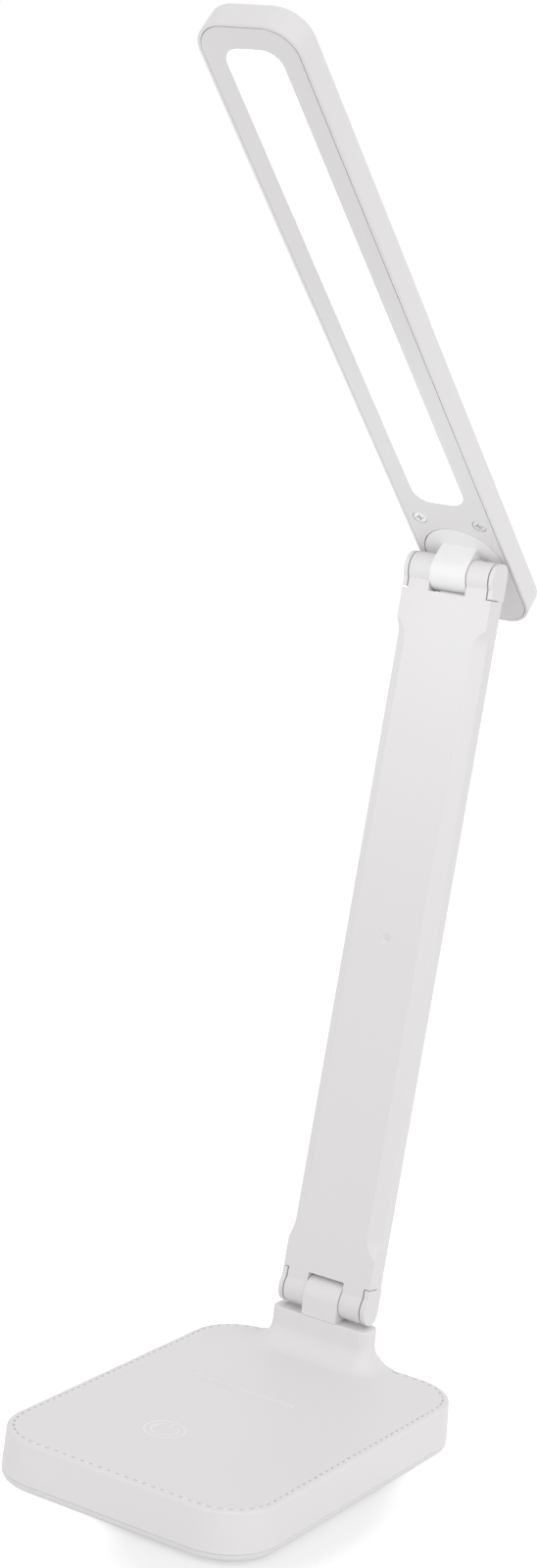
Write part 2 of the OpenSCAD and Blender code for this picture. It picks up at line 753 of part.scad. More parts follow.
module arm_rear_shell() {
  color(shell_white) at_arm() difference() {
    union() {
      translate([0, 0, slot_end]) linear_extrude(arm_len - 2 * slot_end) rear_section();
      both_ends() for (m = [0, 1]) mirror([m, 0, 0])
        end_block(arm_w / 2 - cheek_w, arm_w / 2, slot_end - cheek_end);
      both_ends() for (m = [0, 1]) mirror([m, 0, 0])
        translate([arm_w / 2 - cheek_w, seam_back, 0])
          cube([cheek_w, arm_back - seam_back - rear_soft, slot_end + eps]);
    }
    translate([-cavity_w / 2, seam_back - over, cavity_end])
      cube([cavity_w, arm_back - arm_wall - seam_back + over, arm_len - 2 * cavity_end]);
    both_ends() {
      rotate([0, 90, 0]) cylinder(r = pin_hole_r, h = pin_len + 2 * run_gap, center = true);
      for (x = [-1, 1]) translate([x * arm_screw_x, 0, arm_screw_s]) rotate([-90, 0, 0]) {
        cylinder(r = self_tap_r + 2 * seat_gap, h = 2 * arm_back);
        translate([0, 0, arm_back - arm_screw_sink - arm_screw_head_t])
          cylinder(r = arm_screw_head_r + seat_gap, h = arm_screw_head_t + over);
      }
    }
  }
}

module arm_stiffener() {
  color(steel) at_arm() difference() {
    translate([-stiff_w / 2, arm_back - arm_wall - stiff_t, (arm_len - stiff_len) / 2])
      cube([stiff_w, stiff_t, stiff_len]);
    both_ends() for (x = [-1, 1]) translate([x * arm_screw_x, -arm_front, arm_screw_s])
      rotate([-90, 0, 0]) cylinder(r = arm_boss_r + 2 * seat_gap, h = 3 * arm_front);
    for (i = [0.5 : stiff_holes])
      translate([0, -arm_front, (arm_len - stiff_len) / 2 + i * stiff_len / stiff_holes])
        rotate([-90, 0, 0]) cylinder(r = stiff_hole_r, h = 3 * arm_front);
  }
}

module arm_screws() {
  color(steel) at_arm() both_ends() for (x = [-1, 1])
    translate([x * arm_screw_x, arm_back - arm_screw_sink, arm_screw_s]) rotate([-90, 0, 0])
      cross_screw(arm_screw_head_r, arm_screw_head_t, self_tap_r - tap_gap, arm_screw_len);
}

// two-core lead along the arm, between its front wall and the stiffener
module arm_wire() {
  side = wire_r + wire_gap / 2;
  color([0.75, 0.2, 0.18]) at_arm() for (x = [-side, side])
    translate([x, -arm_front + arm_wall + wire_r + wire_gap, (arm_len - stiff_len) / 2])
      cylinder(r = wire_r, h = stiff_len);
}

// ---- upper hinge and swivel ----

module head_knuckle() {
  color(shell_white) difference() {
    union() {
      at_upper_hinge() rotate([0, 90, 0]) cylinder(r = knuckle_r, h = knuckle_w, center = true);
      at_upper_hinge() translate([-knuckle_w / 2, 0, -knuckle_r])
        cube([knuckle_w, head_off + eps, 2 * knuckle_r]);
      at_head() cylinder(r = disc_r, h = bezel_t);
      at_head() cylinder(r = hub_r, h = clip_in + 2 * hub_clip_t);
    }
    at_upper_hinge() rotate([0, 90, 0])
      cylinder(r = clip_r + 0.02, h = knuckle_w + 2 * over, center = true);
    at_head() translate([0, 0, clip_in - run_gap]) difference() {
      cylinder(r = hub_r + over, h = hub_clip_t + 2 * run_gap);
      translate([0, 0, -over]) cylinder(r = hub_r - hub_groove, h = 3 * over);
    }
    at_head() translate([0, 0, bezel_t]) cylinder(r = wire_bore_r, h = inner_t);
  }
}

module upper_friction_clip() {
  at_upper_hinge() friction_clip();
}

// open ring that snaps into the groove of the swivel hub
module swivel_clip() {
  color(steel) at_head() translate([0, 0, clip_in]) difference() {
    cylinder(r = hub_r + clip_reach, h = hub_clip_t);
    translate([0, 0, -over]) cylinder(r = hub_r - hub_groove + run_gap, h = hub_clip_t + 2 * over);
    translate([-clip_mouth / 2, 0, -over]) cube([clip_mouth, 2 * hub_r, hub_clip_t + 2 * over]);
  }
}

module swivel_bearing() {
  outer = disc_r - run_gap;
  color([0.85, 0.85, 0.83]) at_head() rotate_extrude() {
    translate([hub_r + run_gap, bearing_in]) square([outer - hub_r - run_gap, bearing_t]);
    translate([outer - bearing_rim, bearing_in]) square([bearing_rim, inner_t - bearing_in]);
  }
}

module swivel_washer() {
  color([0.2, 0.2, 0.2]) at_head() translate([0, 0, bezel_t + run_gap]) difference() {
    cylinder(r = disc_r - 2 * bearing_rim, h = washer_t);
    translate([0, 0, -over]) cylinder(r = hub_r + 2 * seat_gap, h = washer_t + 2 * over);
  }
}

// ---- head ----

// moves to the middle of the head outline on its underside
module at_head_middle() {
  at_head() translate([0, head_len / 2 - head_tail, 0]) children();
}

// moves to the middle of the light opening
module at_light() {
  at_head() translate([0, light_start + light_len / 2, 0]) children();
}

// both bezel screw places
module at_bezel_screws() {
  at_head() for (x = [-1, 1]) translate([x * screw_gap / 2, screw_s, 0]) children();
}

module head_section() {
  square([head_r, head_t - head_edge_r]);
  square([head_r - head_edge_r, head_t]);
  translate([head_r - head_edge_r, head_t - head_edge_r]) circle(head_edge_r);
}

module head_shell() {
  color(shell_white) difference() {
    union() {
      at_head_middle() difference() {
        union() {
          round_sweep(head_w, head_len, head_r) head_section();
          linear_extrude(head_t) square([head_w - 2 * head_r, head_len - 2 * head_r], center = true);
        }
        translate([0, 0, -over])
          round_plate(inner_w, head_len - 2 * rim_w, inner_r, inner_t + over);
      }
      at_bezel_screws() translate([0, 0, bezel_t]) cylinder(r = bezel_boss_r, h = inner_t - bezel_t + eps);
    }
    at_bezel_screws() cylinder(r = self_tap_r, h = bezel_screw_top + bezel_screw_len + tap_gap);
  }
}

module head_bezel() {
  color(shell_white) difference() {
    at_head_middle()
      round_plate(bezel_w, head_len - 2 * rim_w - 2 * seat_gap, bezel_r, bezel_t);
    at_light() translate([0, 0, -over]) round_plate(light_w, light_len, light_r, bezel_t + 2 * over);
    at_head() translate([0, 0, -over]) cylinder(r = disc_r + disc_gap, h = bezel_t + 2 * over);
    at_bezel_screws() translate([0, 0, -over]) {
      cylinder(r = self_tap_r + 2 * seat_gap, h = bezel_t + 2 * over);
      cylinder(r = screw_head_r + 2 * seat_gap, h = bezel_screw_top + bezel_head_t + over);
    }
  }
}

module head_screws() {
  color(steel) at_bezel_screws() translate([0, 0, bezel_screw_top])
    rotate([180, 0, 0]) cross_screw(screw_head_r, bezel_head_t, self_tap_r - tap_gap, bezel_screw_len);
}

module diffuser() {
  color([1, 1, 0.98]) at_light() {
    translate([0, 0, diffuser_sink])
      round_plate(light_w - 2 * seat_gap, light_len - 2 * seat_gap, light_r - seat_gap,
        bezel_t - diffuser_sink + eps);
    translate([0, 0, bezel_t])
      round_plate(light_w + 2 * flange, light_len + 2 * flange, light_r + flange, flange_t);
  }
}

module reflector() {
  color([0.96, 0.96, 0.95]) at_light() translate([0, 0, bezel_t + flange_t]) {
    difference() {
      round_plate(light_w + 2 * flange, light_len + 2 * flange, light_r + flange, reflector_t);
      translate([0, 0, -over])
        round_plate(light_w - 1, light_len - 1, light_r - 0.5, reflector_t + 2 * over);
    }
  }
}

module led_board() {
  color([0.95, 0.95, 0.93]) at_light()
    translate([-led_board_w / 2, -led_board_len / 2, bezel_t + flange_t + reflector_t])
      cube([led_board_w, led_board_len, led_board_t]);
}

module leds() {
  color([0.98, 0.9, 0.55]) at_light() for (i = [0 : led_count - 1])
    translate([-led_w / 2, -led_board_len / 2 + led_pitch * (i + 0.5) - led_l / 2,
        bezel_t + flange_t + reflector_t - led_t])
      cube([led_w, led_l, led_t]);
}

base_cover();
bottom_cover();
rubber_feet();
base_screws();
ballast_plate();
battery_pack();
control_board();
usb_socket();
touch_sensor();
base_knuckle();
knuckle_screw();
lower_friction_clip();
arm_front_shell();
arm_rear_shell();
arm_stiffener();
arm_screws();
arm_wire();
lower_hinge_pin();
upper_hinge_pin();
head_knuckle();
upper_friction_clip();
swivel_clip();
head_shell();
head_bezel();
diffuser();
reflector();
led_board();
leds();
head_screws();
swivel_bearing();
swivel_washer();
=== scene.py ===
import math

import bmesh
import bpy
from mathutils import Matrix, Vector


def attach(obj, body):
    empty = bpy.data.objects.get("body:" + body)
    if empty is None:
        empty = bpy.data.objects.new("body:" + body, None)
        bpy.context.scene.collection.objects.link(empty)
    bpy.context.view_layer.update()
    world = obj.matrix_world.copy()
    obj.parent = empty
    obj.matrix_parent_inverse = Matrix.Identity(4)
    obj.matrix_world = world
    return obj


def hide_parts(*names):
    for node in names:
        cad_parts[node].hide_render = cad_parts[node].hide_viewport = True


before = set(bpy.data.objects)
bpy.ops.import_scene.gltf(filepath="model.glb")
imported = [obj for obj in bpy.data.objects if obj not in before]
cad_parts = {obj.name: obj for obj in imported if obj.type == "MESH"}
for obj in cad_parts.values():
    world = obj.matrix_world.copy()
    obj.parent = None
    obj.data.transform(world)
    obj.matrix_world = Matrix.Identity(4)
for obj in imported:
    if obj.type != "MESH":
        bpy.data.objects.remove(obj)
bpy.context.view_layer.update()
mm = 0.001
print("frame loaded:", len(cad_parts), "nodes")

# camera at the photograph's place, in metres and degrees
cameraSet = {"place": (0.4775, -0.79339, 0.40222), "turn": 31.598, "rise": 10.668, "roll": 5.626,
             "lens": 68.33, "sensor": 36, "farthest": 50}


def addCamera(shot):
    turn, rise, roll = (math.radians(shot[k]) for k in ("turn", "rise", "roll"))
    back = Vector((math.sin(turn) * math.cos(rise), -math.cos(turn) * math.cos(rise), math.sin(rise)))
    right = Vector((math.cos(turn), math.sin(turn), 0))
    up = back.cross(right)
    right, up = right * math.cos(roll) + up * math.sin(roll), up * math.cos(roll) - right * math.sin(roll)
    data = bpy.data.cameras.new("photoCamera")
    data.lens = shot["lens"]
    data.sensor_width = shot["sensor"]
    data.clip_end = shot["farthest"]
    camera = bpy.data.objects.new("photoCamera", data)
    bpy.context.scene.collection.objects.link(camera)
    camera.matrix_world = Matrix.Translation(shot["place"]) @ Matrix((right, up, back)).transposed().to_4x4()
    bpy.context.scene.camera = camera


addCamera(cameraSet)
print("camera placed")


# shader groups shared by the finishes
def startGroup(name, inputs, outputs):
    group = bpy.data.node_groups.new(name, "ShaderNodeTree")
    for label, kind, value in inputs:
        socket = group.interface.new_socket(label, in_out="INPUT", socket_type=kind)
        socket.default_value = value
    for label, kind in outputs:
        group.interface.new_socket(label, in_out="OUTPUT", socket_type=kind)
    start = group.nodes.new("NodeGroupInput")
    end = group.nodes.new("NodeGroupOutput")
    return group, start, end


def addNode(tree, kind, **values):
    node = tree.nodes.new(kind)
    for key, value in values.items():
        setattr(node, key, value)
    return node


def mathNode(tree, operation, first, second):
    node = addNode(tree, "ShaderNodeMath", operation=operation)
    for socket, value in zip(node.inputs, (first, second)):
        if isinstance(value, (int, float)):
            socket.default_value = value
        else:
            tree.links.new(value, socket)
    return node.outputs[0]


# the fine grain of a moulded surface, and slow swings of its gloss
mouldSet = {"detail": 3, "broadScale": 28}


def makeMouldGrain(mould):
    group, start, end = startGroup(
        "mouldGrain",
        [("Coordinate", "NodeSocketVector", (0, 0, 0)), ("Scale", "NodeSocketFloat", 1500.0),
         ("Roughness", "NodeSocketFloat", 0.4), ("Spread", "NodeSocketFloat", 0.05)],
        [("Height", "NodeSocketFloat"), ("Roughness", "NodeSocketFloat")])
    fine = addNode(group, "ShaderNodeTexNoise")
    fine.inputs["Detail"].default_value = mould["detail"]
    group.links.new(start.outputs["Coordinate"], fine.inputs["Vector"])
    group.links.new(start.outputs["Scale"], fine.inputs["Scale"])
    broad = addNode(group, "ShaderNodeTexNoise")
    broad.inputs["Scale"].default_value = mould["broadScale"]
    group.links.new(start.outputs["Coordinate"], broad.inputs["Vector"])
    aroundZero = mathNode(group, "SUBTRACT", broad.outputs["Fac"], 0.5)
    swing = mathNode(group, "MULTIPLY", aroundZero, start.outputs["Spread"])
    group.links.new(fine.outputs["Fac"], end.inputs["Height"])
    group.links.new(mathNode(group, "ADD", start.outputs["Roughness"], swing), end.inputs["Roughness"])
    return group


# leather cells on the base, their borders warped by noise
skinSet = {"warpScale": 350, "warpReach": 0.0012, "border": 0.18}


def makeSkinGrain(skin):
    group, start, end = startGroup(
        "skinGrain",
        [("Coordinate", "NodeSocketVector", (0, 0, 0)), ("Scale", "NodeSocketFloat", 900.0)],
        [("Height", "NodeSocketFloat")])
    cells = addNode(group, "ShaderNodeTexVoronoi", feature="DISTANCE_TO_EDGE")
    warp = addNode(group, "ShaderNodeTexNoise")
    warp.inputs["Scale"].default_value = skin["warpScale"]
    group.links.new(start.outputs["Coordinate"], warp.inputs["Vector"])
    shift = addNode(group, "ShaderNodeVectorMath", operation="SCALE")
    shift.inputs["Scale"].default_value = skin["warpReach"]
    group.links.new(warp.outputs["Color"], shift.inputs[0])
    moved = addNode(group, "ShaderNodeVectorMath", operation="ADD")
    group.links.new(start.outputs["Coordinate"], moved.inputs[0])
    group.links.new(shift.outputs[0], moved.inputs[1])
    group.links.new(moved.outputs[0], cells.inputs["Vector"])
    group.links.new(start.outputs["Scale"], cells.inputs["Scale"])
    raised = addNode(group, "ShaderNodeMapRange", interpolation_type="SMOOTHSTEP")
    raised.inputs["From Max"].default_value = skin["border"]
    group.links.new(cells.outputs["Distance"], raised.inputs["Value"])
    group.links.new(raised.outputs["Result"], end.inputs["Height"])
    return group


# a cloud that drifts between two shades of one colour
toneSet = {"detail": 4}


def makeToneDrift(tone):
    group, start, end = startGroup(
        "toneDrift",
        [("Coordinate", "NodeSocketVector", (0, 0, 0)), ("Colour", "NodeSocketColor", (1, 1, 1, 1)),
         ("Second", "NodeSocketColor", (1, 1, 1, 1)), ("Scale", "NodeSocketFloat", 14.0)],
        [("Colour", "NodeSocketColor")])
    cloud = addNode(group, "ShaderNodeTexNoise")
    cloud.inputs["Detail"].default_value = tone["detail"]
    group.links.new(start.outputs["Coordinate"], cloud.inputs["Vector"])
    group.links.new(start.outputs["Scale"], cloud.inputs["Scale"])
    mix = addNode(group, "ShaderNodeMix", data_type="RGBA")
    group.links.new(cloud.outputs["Fac"], mix.inputs[0])
    group.links.new(start.outputs["Colour"], mix.inputs[6])  # 6 and 7 are a Mix node's colours A and B
    group.links.new(start.outputs["Second"], mix.inputs[7])
    group.links.new(mix.outputs[2], end.inputs["Colour"])
    return group


groups = {"mould": makeMouldGrain(mouldSet), "skin": makeSkinGrain(skinSet), "tone": makeToneDrift(toneSet)}
print("shader groups made:", len(groups))

# what a finish has unless it says otherwise; depths in metres
plainLook = {"drift": 0.985, "toneScale": 14, "grainScale": 1500, "spread": 0.06, "bump": 0.15,
             "depth": 0.00003, "skin": 0, "skinDepth": 0.00004, "metallic": 0, "glow": 0}
glowColour = (1, 0.995, 0.985, 1)


def makeFinish(name, look):
    look = {**plainLook, **look}
    material = bpy.data.materials.new(name)
    material.use_nodes = True
    tree = material.node_tree
    shader = tree.nodes["Principled BSDF"]
    place = addNode(tree, "ShaderNodeTexCoord").outputs["Object"]
    tone = addNode(tree, "ShaderNodeGroup", node_tree=groups["tone"])
    tree.links.new(place, tone.inputs["Coordinate"])
    tone.inputs["Colour"].default_value = (*look["colour"], 1)
    tone.inputs["Second"].default_value = (*[c * look["drift"] for c in look["colour"]], 1)
    tone.inputs["Scale"].default_value = look["toneScale"]
    tree.links.new(tone.outputs["Colour"], shader.inputs["Base Color"])
    grain = addNode(tree, "ShaderNodeGroup", node_tree=groups["mould"])
    tree.links.new(place, grain.inputs["Coordinate"])
    grain.inputs["Scale"].default_value = look["grainScale"]
    grain.inputs["Roughness"].default_value = look["roughness"]
    grain.inputs["Spread"].default_value = look["spread"]
    tree.links.new(grain.outputs["Roughness"], shader.inputs["Roughness"])
    bump = addNode(tree, "ShaderNodeBump")
    bump.inputs["Strength"].default_value = look["bump"]
    bump.inputs["Distance"].default_value = look["depth"]
    tree.links.new(grain.outputs["Height"], bump.inputs["Height"])
    if look["skin"]:
        skin = addNode(tree, "ShaderNodeGroup", node_tree=groups["skin"])
        tree.links.new(place, skin.inputs["Coordinate"])
        skin.inputs["Scale"].default_value = look["skin"]
        both = addNode(tree, "ShaderNodeBump")
        both.inputs["Strength"].default_value = look["skinBump"]
        both.inputs["Distance"].default_value = look["skinDepth"]
        tree.links.new(skin.outputs["Height"], both.inputs["Height"])
        tree.links.new(bump.outputs["Normal"], both.inputs["Normal"])
        bump = both
    tree.links.new(bump.outputs["Normal"], shader.inputs["Normal"])
    shader.inputs["Metallic"].default_value = look["metallic"]
    if look["glow"]:
        shader.inputs["Emission Color"].default_value = glowColour
        shader.inputs["Emission Strength"].default_value = look["glow"]
    return material


finishes = {
    "satinShell": {"colour": (0.80, 0.785, 0.785), "roughness": 0.42, "bump": 0.1},
    # the swivel knuckle's copy of the shell plastic is made lighter: painted light on the knuckle and its disc
    "knuckleSatinPaintedLight": {"colour": (0.88, 0.87, 0.87), "roughness": 0.42, "bump": 0.1},
    # the arm's copy of the shell plastic is made darker: painted shade on the arm shells
    "armSatinPaintedShade": {"colour": (0.775, 0.758, 0.76), "roughness": 0.42, "bump": 0.1},
    "baseSkin": {"colour": (0.80, 0.78, 0.785), "roughness": 0.5, "skin": 1400, "skinBump": 0.08},
    # the bezel's copy of the shell plastic is made darker: painted shade on the head's underside
    "bezelSatinPaintedShade": {"colour": (0.77, 0.755, 0.757), "roughness": 0.48, "bump": 0.12},
    "underCover": {"colour": (0.78, 0.77, 0.77), "roughness": 0.5},
    "thread": {"colour": (0.93, 0.92, 0.92), "roughness": 0.7, "grainScale": 5000, "bump": 0.3},
    # grey for the needle holes: painted shade inside the holes
    "holeShade": {"colour": (0.62, 0.61, 0.61), "roughness": 0.8},
    "markInk": {"colour": (0.9, 0.89, 0.89), "roughness": 0.3},
    "opalLight": {"colour": (0.95, 0.95, 0.94), "roughness": 0.35, "glow": 1.15},
    "footRubber": {"colour": (0.10, 0.10, 0.105), "roughness": 0.8, "bump": 0.4, "grainScale": 900},
    "screwSteel": {"colour": (0.72, 0.72, 0.73), "roughness": 0.38, "metallic": 1, "grainScale": 3000},
    "plainSteel": {"colour": (0.62, 0.62, 0.64), "roughness": 0.32, "metallic": 1, "grainScale": 2500},
    "batteryFilm": {"colour": (0.17, 0.21, 0.34), "roughness": 0.3, "toneScale": 40},
    "solderMask": {"colour": (0.02, 0.14, 0.05), "roughness": 0.35, "drift": 0.8, "toneScale": 300},
    "gilt": {"colour": (0.83, 0.62, 0.26), "roughness": 0.25, "metallic": 1},
    "copper": {"colour": (0.75, 0.42, 0.22), "roughness": 0.3, "metallic": 1},
    "redWire": {"colour": (0.5, 0.03, 0.02), "roughness": 0.45},
    "whiteSheet": {"colour": (0.88, 0.88, 0.87), "roughness": 0.5},
    "phosphor": {"colour": (0.9, 0.72, 0.22), "roughness": 0.25, "drift": 0.85, "toneScale": 600},
    "blackFilm": {"colour": (0.03, 0.03, 0.03), "roughness": 0.5},
}
finish = {name: makeFinish(name, look) for name, look in finishes.items()}
print("finishes made:", len(finish))

# the finish of every solid of the frame
nodeFinish = {
    "rubber_feet": "footRubber", "base_screws": "screwSteel", "ballast_plate": "plainSteel",
    "battery_pack": "batteryFilm", "control_board": "solderMask", "usb_socket": "plainSteel",
    "touch_sensor": "copper", "knuckle_screw": "screwSteel", "lower_friction_clip": "plainSteel",
    "arm_stiffener": "plainSteel", "arm_screws": "screwSteel", "arm_wire": "redWire",
    "lower_hinge_pin": "plainSteel", "upper_hinge_pin": "plainSteel", "upper_friction_clip": "plainSteel",
    "swivel_clip": "plainSteel", "diffuser": "opalLight", "reflector": "whiteSheet", "led_board": "whiteSheet",
    "leds": "phosphor", "head_screws": "screwSteel", "swivel_bearing": "whiteSheet", "swivel_washer": "blackFilm",
    "base_cover": "baseSkin", "bottom_cover": "underCover", "base_knuckle": "satinShell",
    "arm_front_shell": "satinShell", "arm_rear_shell": "satinShell", "head_knuckle": "satinShell",
    "head_shell": "satinShell", "head_bezel": "bezelSatinPaintedShade",
}
for nodeName, finishName in nodeFinish.items():
    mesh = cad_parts[nodeName].data
    mesh.materials.clear()
    mesh.materials.append(finish[finishName])
print("nodes dressed:", len(nodeFinish))


def addPiece(name, bm, finishName, body, smoothAngle=35):
    bmesh.ops.recalc_face_normals(bm, faces=bm.faces)
    mesh = bpy.data.meshes.new(name)
    bm.to_mesh(mesh)
    bm.free()
    mesh.shade_smooth()
    mesh.set_sharp_from_angle(angle=math.radians(smoothAngle))
    mesh.materials.append(finish[finishName])
    piece = bpy.data.objects.new(name, mesh)
    bpy.context.scene.collection.objects.link(piece)
    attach(piece, body)
    return piece


# the moulded shells: each is its node's own solid, with hard edges eased in millimetres, as a mould leaves them
softShells = {
    "neckAndCover": {"node": "base_cover", "finish": "baseSkin", "body": "base", "ease": 0.3},
    "footCover": {"node": "bottom_cover", "finish": "underCover", "body": "base", "ease": 0.15},
    "lowerKnuckle": {"node": "base_knuckle", "finish": "satinShell", "body": "base", "ease": 0.25},
    "armFront": {"node": "arm_front_shell", "finish": "armSatinPaintedShade", "body": "arm", "ease": 0.3},
    "armBack": {"node": "arm_rear_shell", "finish": "armSatinPaintedShade", "body": "arm", "ease": 0.25},
    "upperKnuckle": {"node": "head_knuckle", "finish": "knuckleSatinPaintedLight", "body": "swivel", "ease": 0.2},
    "lightTray": {"node": "head_shell", "finish": "satinShell", "body": "head", "ease": 0.3},
    "lightFrame": {"node": "head_bezel", "finish": "bezelSatinPaintedShade", "body": "head", "ease": 0.15},
}
easing = {"mergeWithin": 1e-6, "flatBelow": 0.6, "hardAbove": 32, "segments": 2, "faceWeight": 100}


def softenShell(name, shell):
    bm = bmesh.new()
    bm.from_mesh(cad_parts[shell["node"]].data)
    bmesh.ops.remove_doubles(bm, verts=bm.verts, dist=easing["mergeWithin"])
    bmesh.ops.dissolve_limit(bm, angle_limit=math.radians(easing["flatBelow"]), verts=bm.verts, edges=bm.edges)
    hardAngle = math.radians(easing["hardAbove"])
    hard = [e for e in bm.edges if len(e.link_faces) == 2 and e.calc_face_angle(0) > hardAngle]
    bmesh.ops.bevel(bm, geom=hard, offset=shell["ease"] * mm, segments=easing["segments"], profile=0.5,
                    affect="EDGES", clamp_overlap=True, material=-1)
    piece = addPiece(name, bm, shell["finish"], shell["body"])
    flat = piece.modifiers.new("flatFaces", "WEIGHTED_NORMAL")
    flat.weight = easing["faceWeight"]
    flat.keep_sharp = True
    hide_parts(shell["node"])
    print(name, len(hard), "edges eased,", len(piece.data.polygons), "faces")


for name, shell in softShells.items():
    softenShell(name, shell)
print("shells eased:", len(softShells))

# where the base top's details lie, in millimetres
baseTop = {"wide": 100, "deep": 141, "corner": 19, "height": 17.6, "neckFrom": -34, "neckTo": 21, "neckFront": 60,
           "middle": -6.5, "markX": -7.5, "markY": -29.6}


def roundRoute(inset, pitch):
    radius = baseTop["corner"] - inset
    flatX = baseTop["wide"] / 2 - baseTop["corner"]
    flatY = baseTop["deep"] / 2 - baseTop["corner"]
    quarter = radius * math.pi / 2
    legs = [2 * flatY, quarter, 2 * flatX, quarter] * 2  # straight and corner by turns, from the right side round
    total = sum(legs)
    count = round(total / pitch)
    for i in range(count):
        along = total * i / count
        leg = 0
        while along > legs[leg]:
            along -= legs[leg]
            leg += 1
        side = leg // 2  # right, rear, left, front
        turn = math.radians(90 * side)
        half = (flatX, flatY) if side % 2 == 0 else (flatY, flatX)
        if leg % 2 == 0:
            spot, heading = Vector((half[0] + radius, along - half[1], 0)), math.radians(90)
        else:
            bend = along / radius
            spot = Vector((half[0] + radius * math.cos(bend), half[1] + radius * math.sin(bend), 0))
            heading = math.radians(90) + bend
        yield Matrix.Rotation(turn, 3, "Z") @ spot, heading + turn


def clearOfNeck(spot):
    return spot.y < baseTop["neckFront"] or not baseTop["neckFrom"] < spot.x < baseTop["neckTo"]


# saddle stitching that lies in the groove round the base top, with a grey disc of painted shade at the needle
# hole between stitches
stitches = {"inset": 2.2, "pitch": 3.4, "length": 2.5, "width": 0.5, "height": 0.42, "sink": 0.12,
            "hole": 0.21, "holeDepth": 1.2, "facets": 8, "rings": 6, "smooth": 60}


def addStitches(stitch):
    threads = bmesh.new()
    holes = bmesh.new()
    thread = Matrix.Diagonal((stitch["length"] * mm, stitch["width"] * mm, stitch["height"] * mm, 1))
    step = Matrix.Translation((stitch["pitch"] / 2 * mm, 0, stitch["sink"] / 2 * mm))
    for spot, heading in roundRoute(stitch["inset"], stitch["pitch"]):
        if not clearOfNeck(spot):
            continue
        spot.z = baseTop["height"] - stitch["sink"]
        place = Matrix.Translation(spot * mm) @ Matrix.Rotation(heading, 4, "Z")
        bmesh.ops.create_uvsphere(threads, u_segments=stitch["facets"], v_segments=stitch["rings"], radius=0.5,
                                  matrix=place @ thread)
        # each grey disc is painted shade in a needle hole
        bmesh.ops.create_cone(holes, cap_ends=True, segments=stitch["facets"], radius1=stitch["hole"] * mm,
                              radius2=stitch["hole"] * mm, depth=stitch["sink"] * stitch["holeDepth"] * mm,
                              matrix=place @ step)
    addPiece("edgeThread", threads, "thread", "base", stitch["smooth"])
    addPiece("needleHoleShade", holes, "holeShade", "base")


addStitches(stitches)
print("edge stitched")

# the touch mark: a ring round a power sign, printed on the base top
touchMark = {"ring": 6.8, "arc": 4.5, "line": 0.42, "raise": 0.03, "gap": 62, "barFrom": 1.6, "barTo": 5.6,
             "stepAngle": 6}


def arcLine(bm, radius, sweep, mark):
    ends = [bm.verts.new(Vector((radius + side * mark["line"] / 2, 0, 0)) * mm) for side in (-1, 1)]
    line = bm.edges.new(ends)
    bmesh.ops.spin(bm, geom=[line, *ends], cent=(0, 0, 0), axis=(0, 0, 1), angle=math.radians(sweep),
                   steps=round(sweep / mark["stepAngle"]), use_merge=sweep == 360)


def addTouchMark(mark):
    bm = bmesh.new()
    arcLine(bm, mark["ring"], 360, mark)
    before = set(bm.verts)
    arcLine(bm, mark["arc"], 360 - mark["gap"], mark)
    arcVerts = [v for v in bm.verts if v not in before]
    bmesh.ops.rotate(bm, verts=arcVerts, cent=(0, 0, 0),
                     matrix=Matrix.Rotation(math.radians(90 + mark["gap"] / 2), 3, "Z"))
    middle = (mark["barFrom"] + mark["barTo"]) / 2 * mm
    bar = Matrix.Translation((0, middle, 0)) @ Matrix.Diagonal(
        (mark["line"] * mm, (mark["barTo"] - mark["barFrom"]) * mm, 1, 1))
    bmesh.ops.create_grid(bm, x_segments=1, y_segments=1, size=0.5, matrix=bar)
    raised = bmesh.ops.extrude_face_region(bm, geom=list(bm.faces))
    top = [v for v in raised["geom"] if isinstance(v, bmesh.types.BMVert)]
    bmesh.ops.translate(bm, verts=top, vec=(0, 0, mark["raise"] * mm))
    bmesh.ops.translate(bm, verts=bm.verts,
                        vec=Vector((baseTop["markX"], baseTop["markY"], baseTop["height"])) * mm)
    addPiece("touchMark", bm, "markInk", "base")


addTouchMark(touchMark)
print("touch mark drawn")

# gilt contacts on both faces of the charging socket's tongue
contacts = {"count": 12, "pitch": 0.5, "wide": 0.28, "long": 4.2, "thick": 0.03, "back": 1.25,
            "centre": 10.4, "half": 0.352}


def addContacts(contact):
    bm = bmesh.new()
    rear = baseTop["deep"] / 2 - contact["back"] - contact["long"] / 2
    size = Matrix.Diagonal((contact["wide"] * mm, contact["long"] * mm, contact["thick"] * mm, 1))
    for i in range(contact["count"]):
        across = baseTop["middle"] + (i - (contact["count"] - 1) / 2) * contact["pitch"]
        for side in (-1, 1):
            height = contact["centre"] + side * (contact["half"] + contact["thick"] / 2)
            spot = Vector((across, rear, height)) * mm
            bmesh.ops.create_cube(bm, size=1, matrix=Matrix.Translation(spot) @ size)
    addPiece("socketContacts", bm, "gilt", "base")


addContacts(contacts)
print("socket contacts laid")

# floor and sky: the tones are what the camera sees and what bounces onto the lamp; the lift that the camera sees
# fades from near to far round shadeAt, which paints a soft shadow beside the base
stageSet = {"floor": 12.0, "roughness": 0.9, "bounceTone": 0.68, "seenTone": 0.4, "bounceLift": 0.15, "sky": 0.8,
            "shadeAt": (0.03, -0.0165, 0), "squash": (1, 0.55, 1), "shadeNear": 0.028, "shadeFar": 0.052,
            "liftNear": 0.54, "liftFar": 0.95}
suns = {
    "mainSun": {"energy": 0.55, "turn": (65, 0, 75), "spread": 70},
    "frontSun": {"energy": 0.33, "turn": (78, 0, -16), "spread": 70},
}
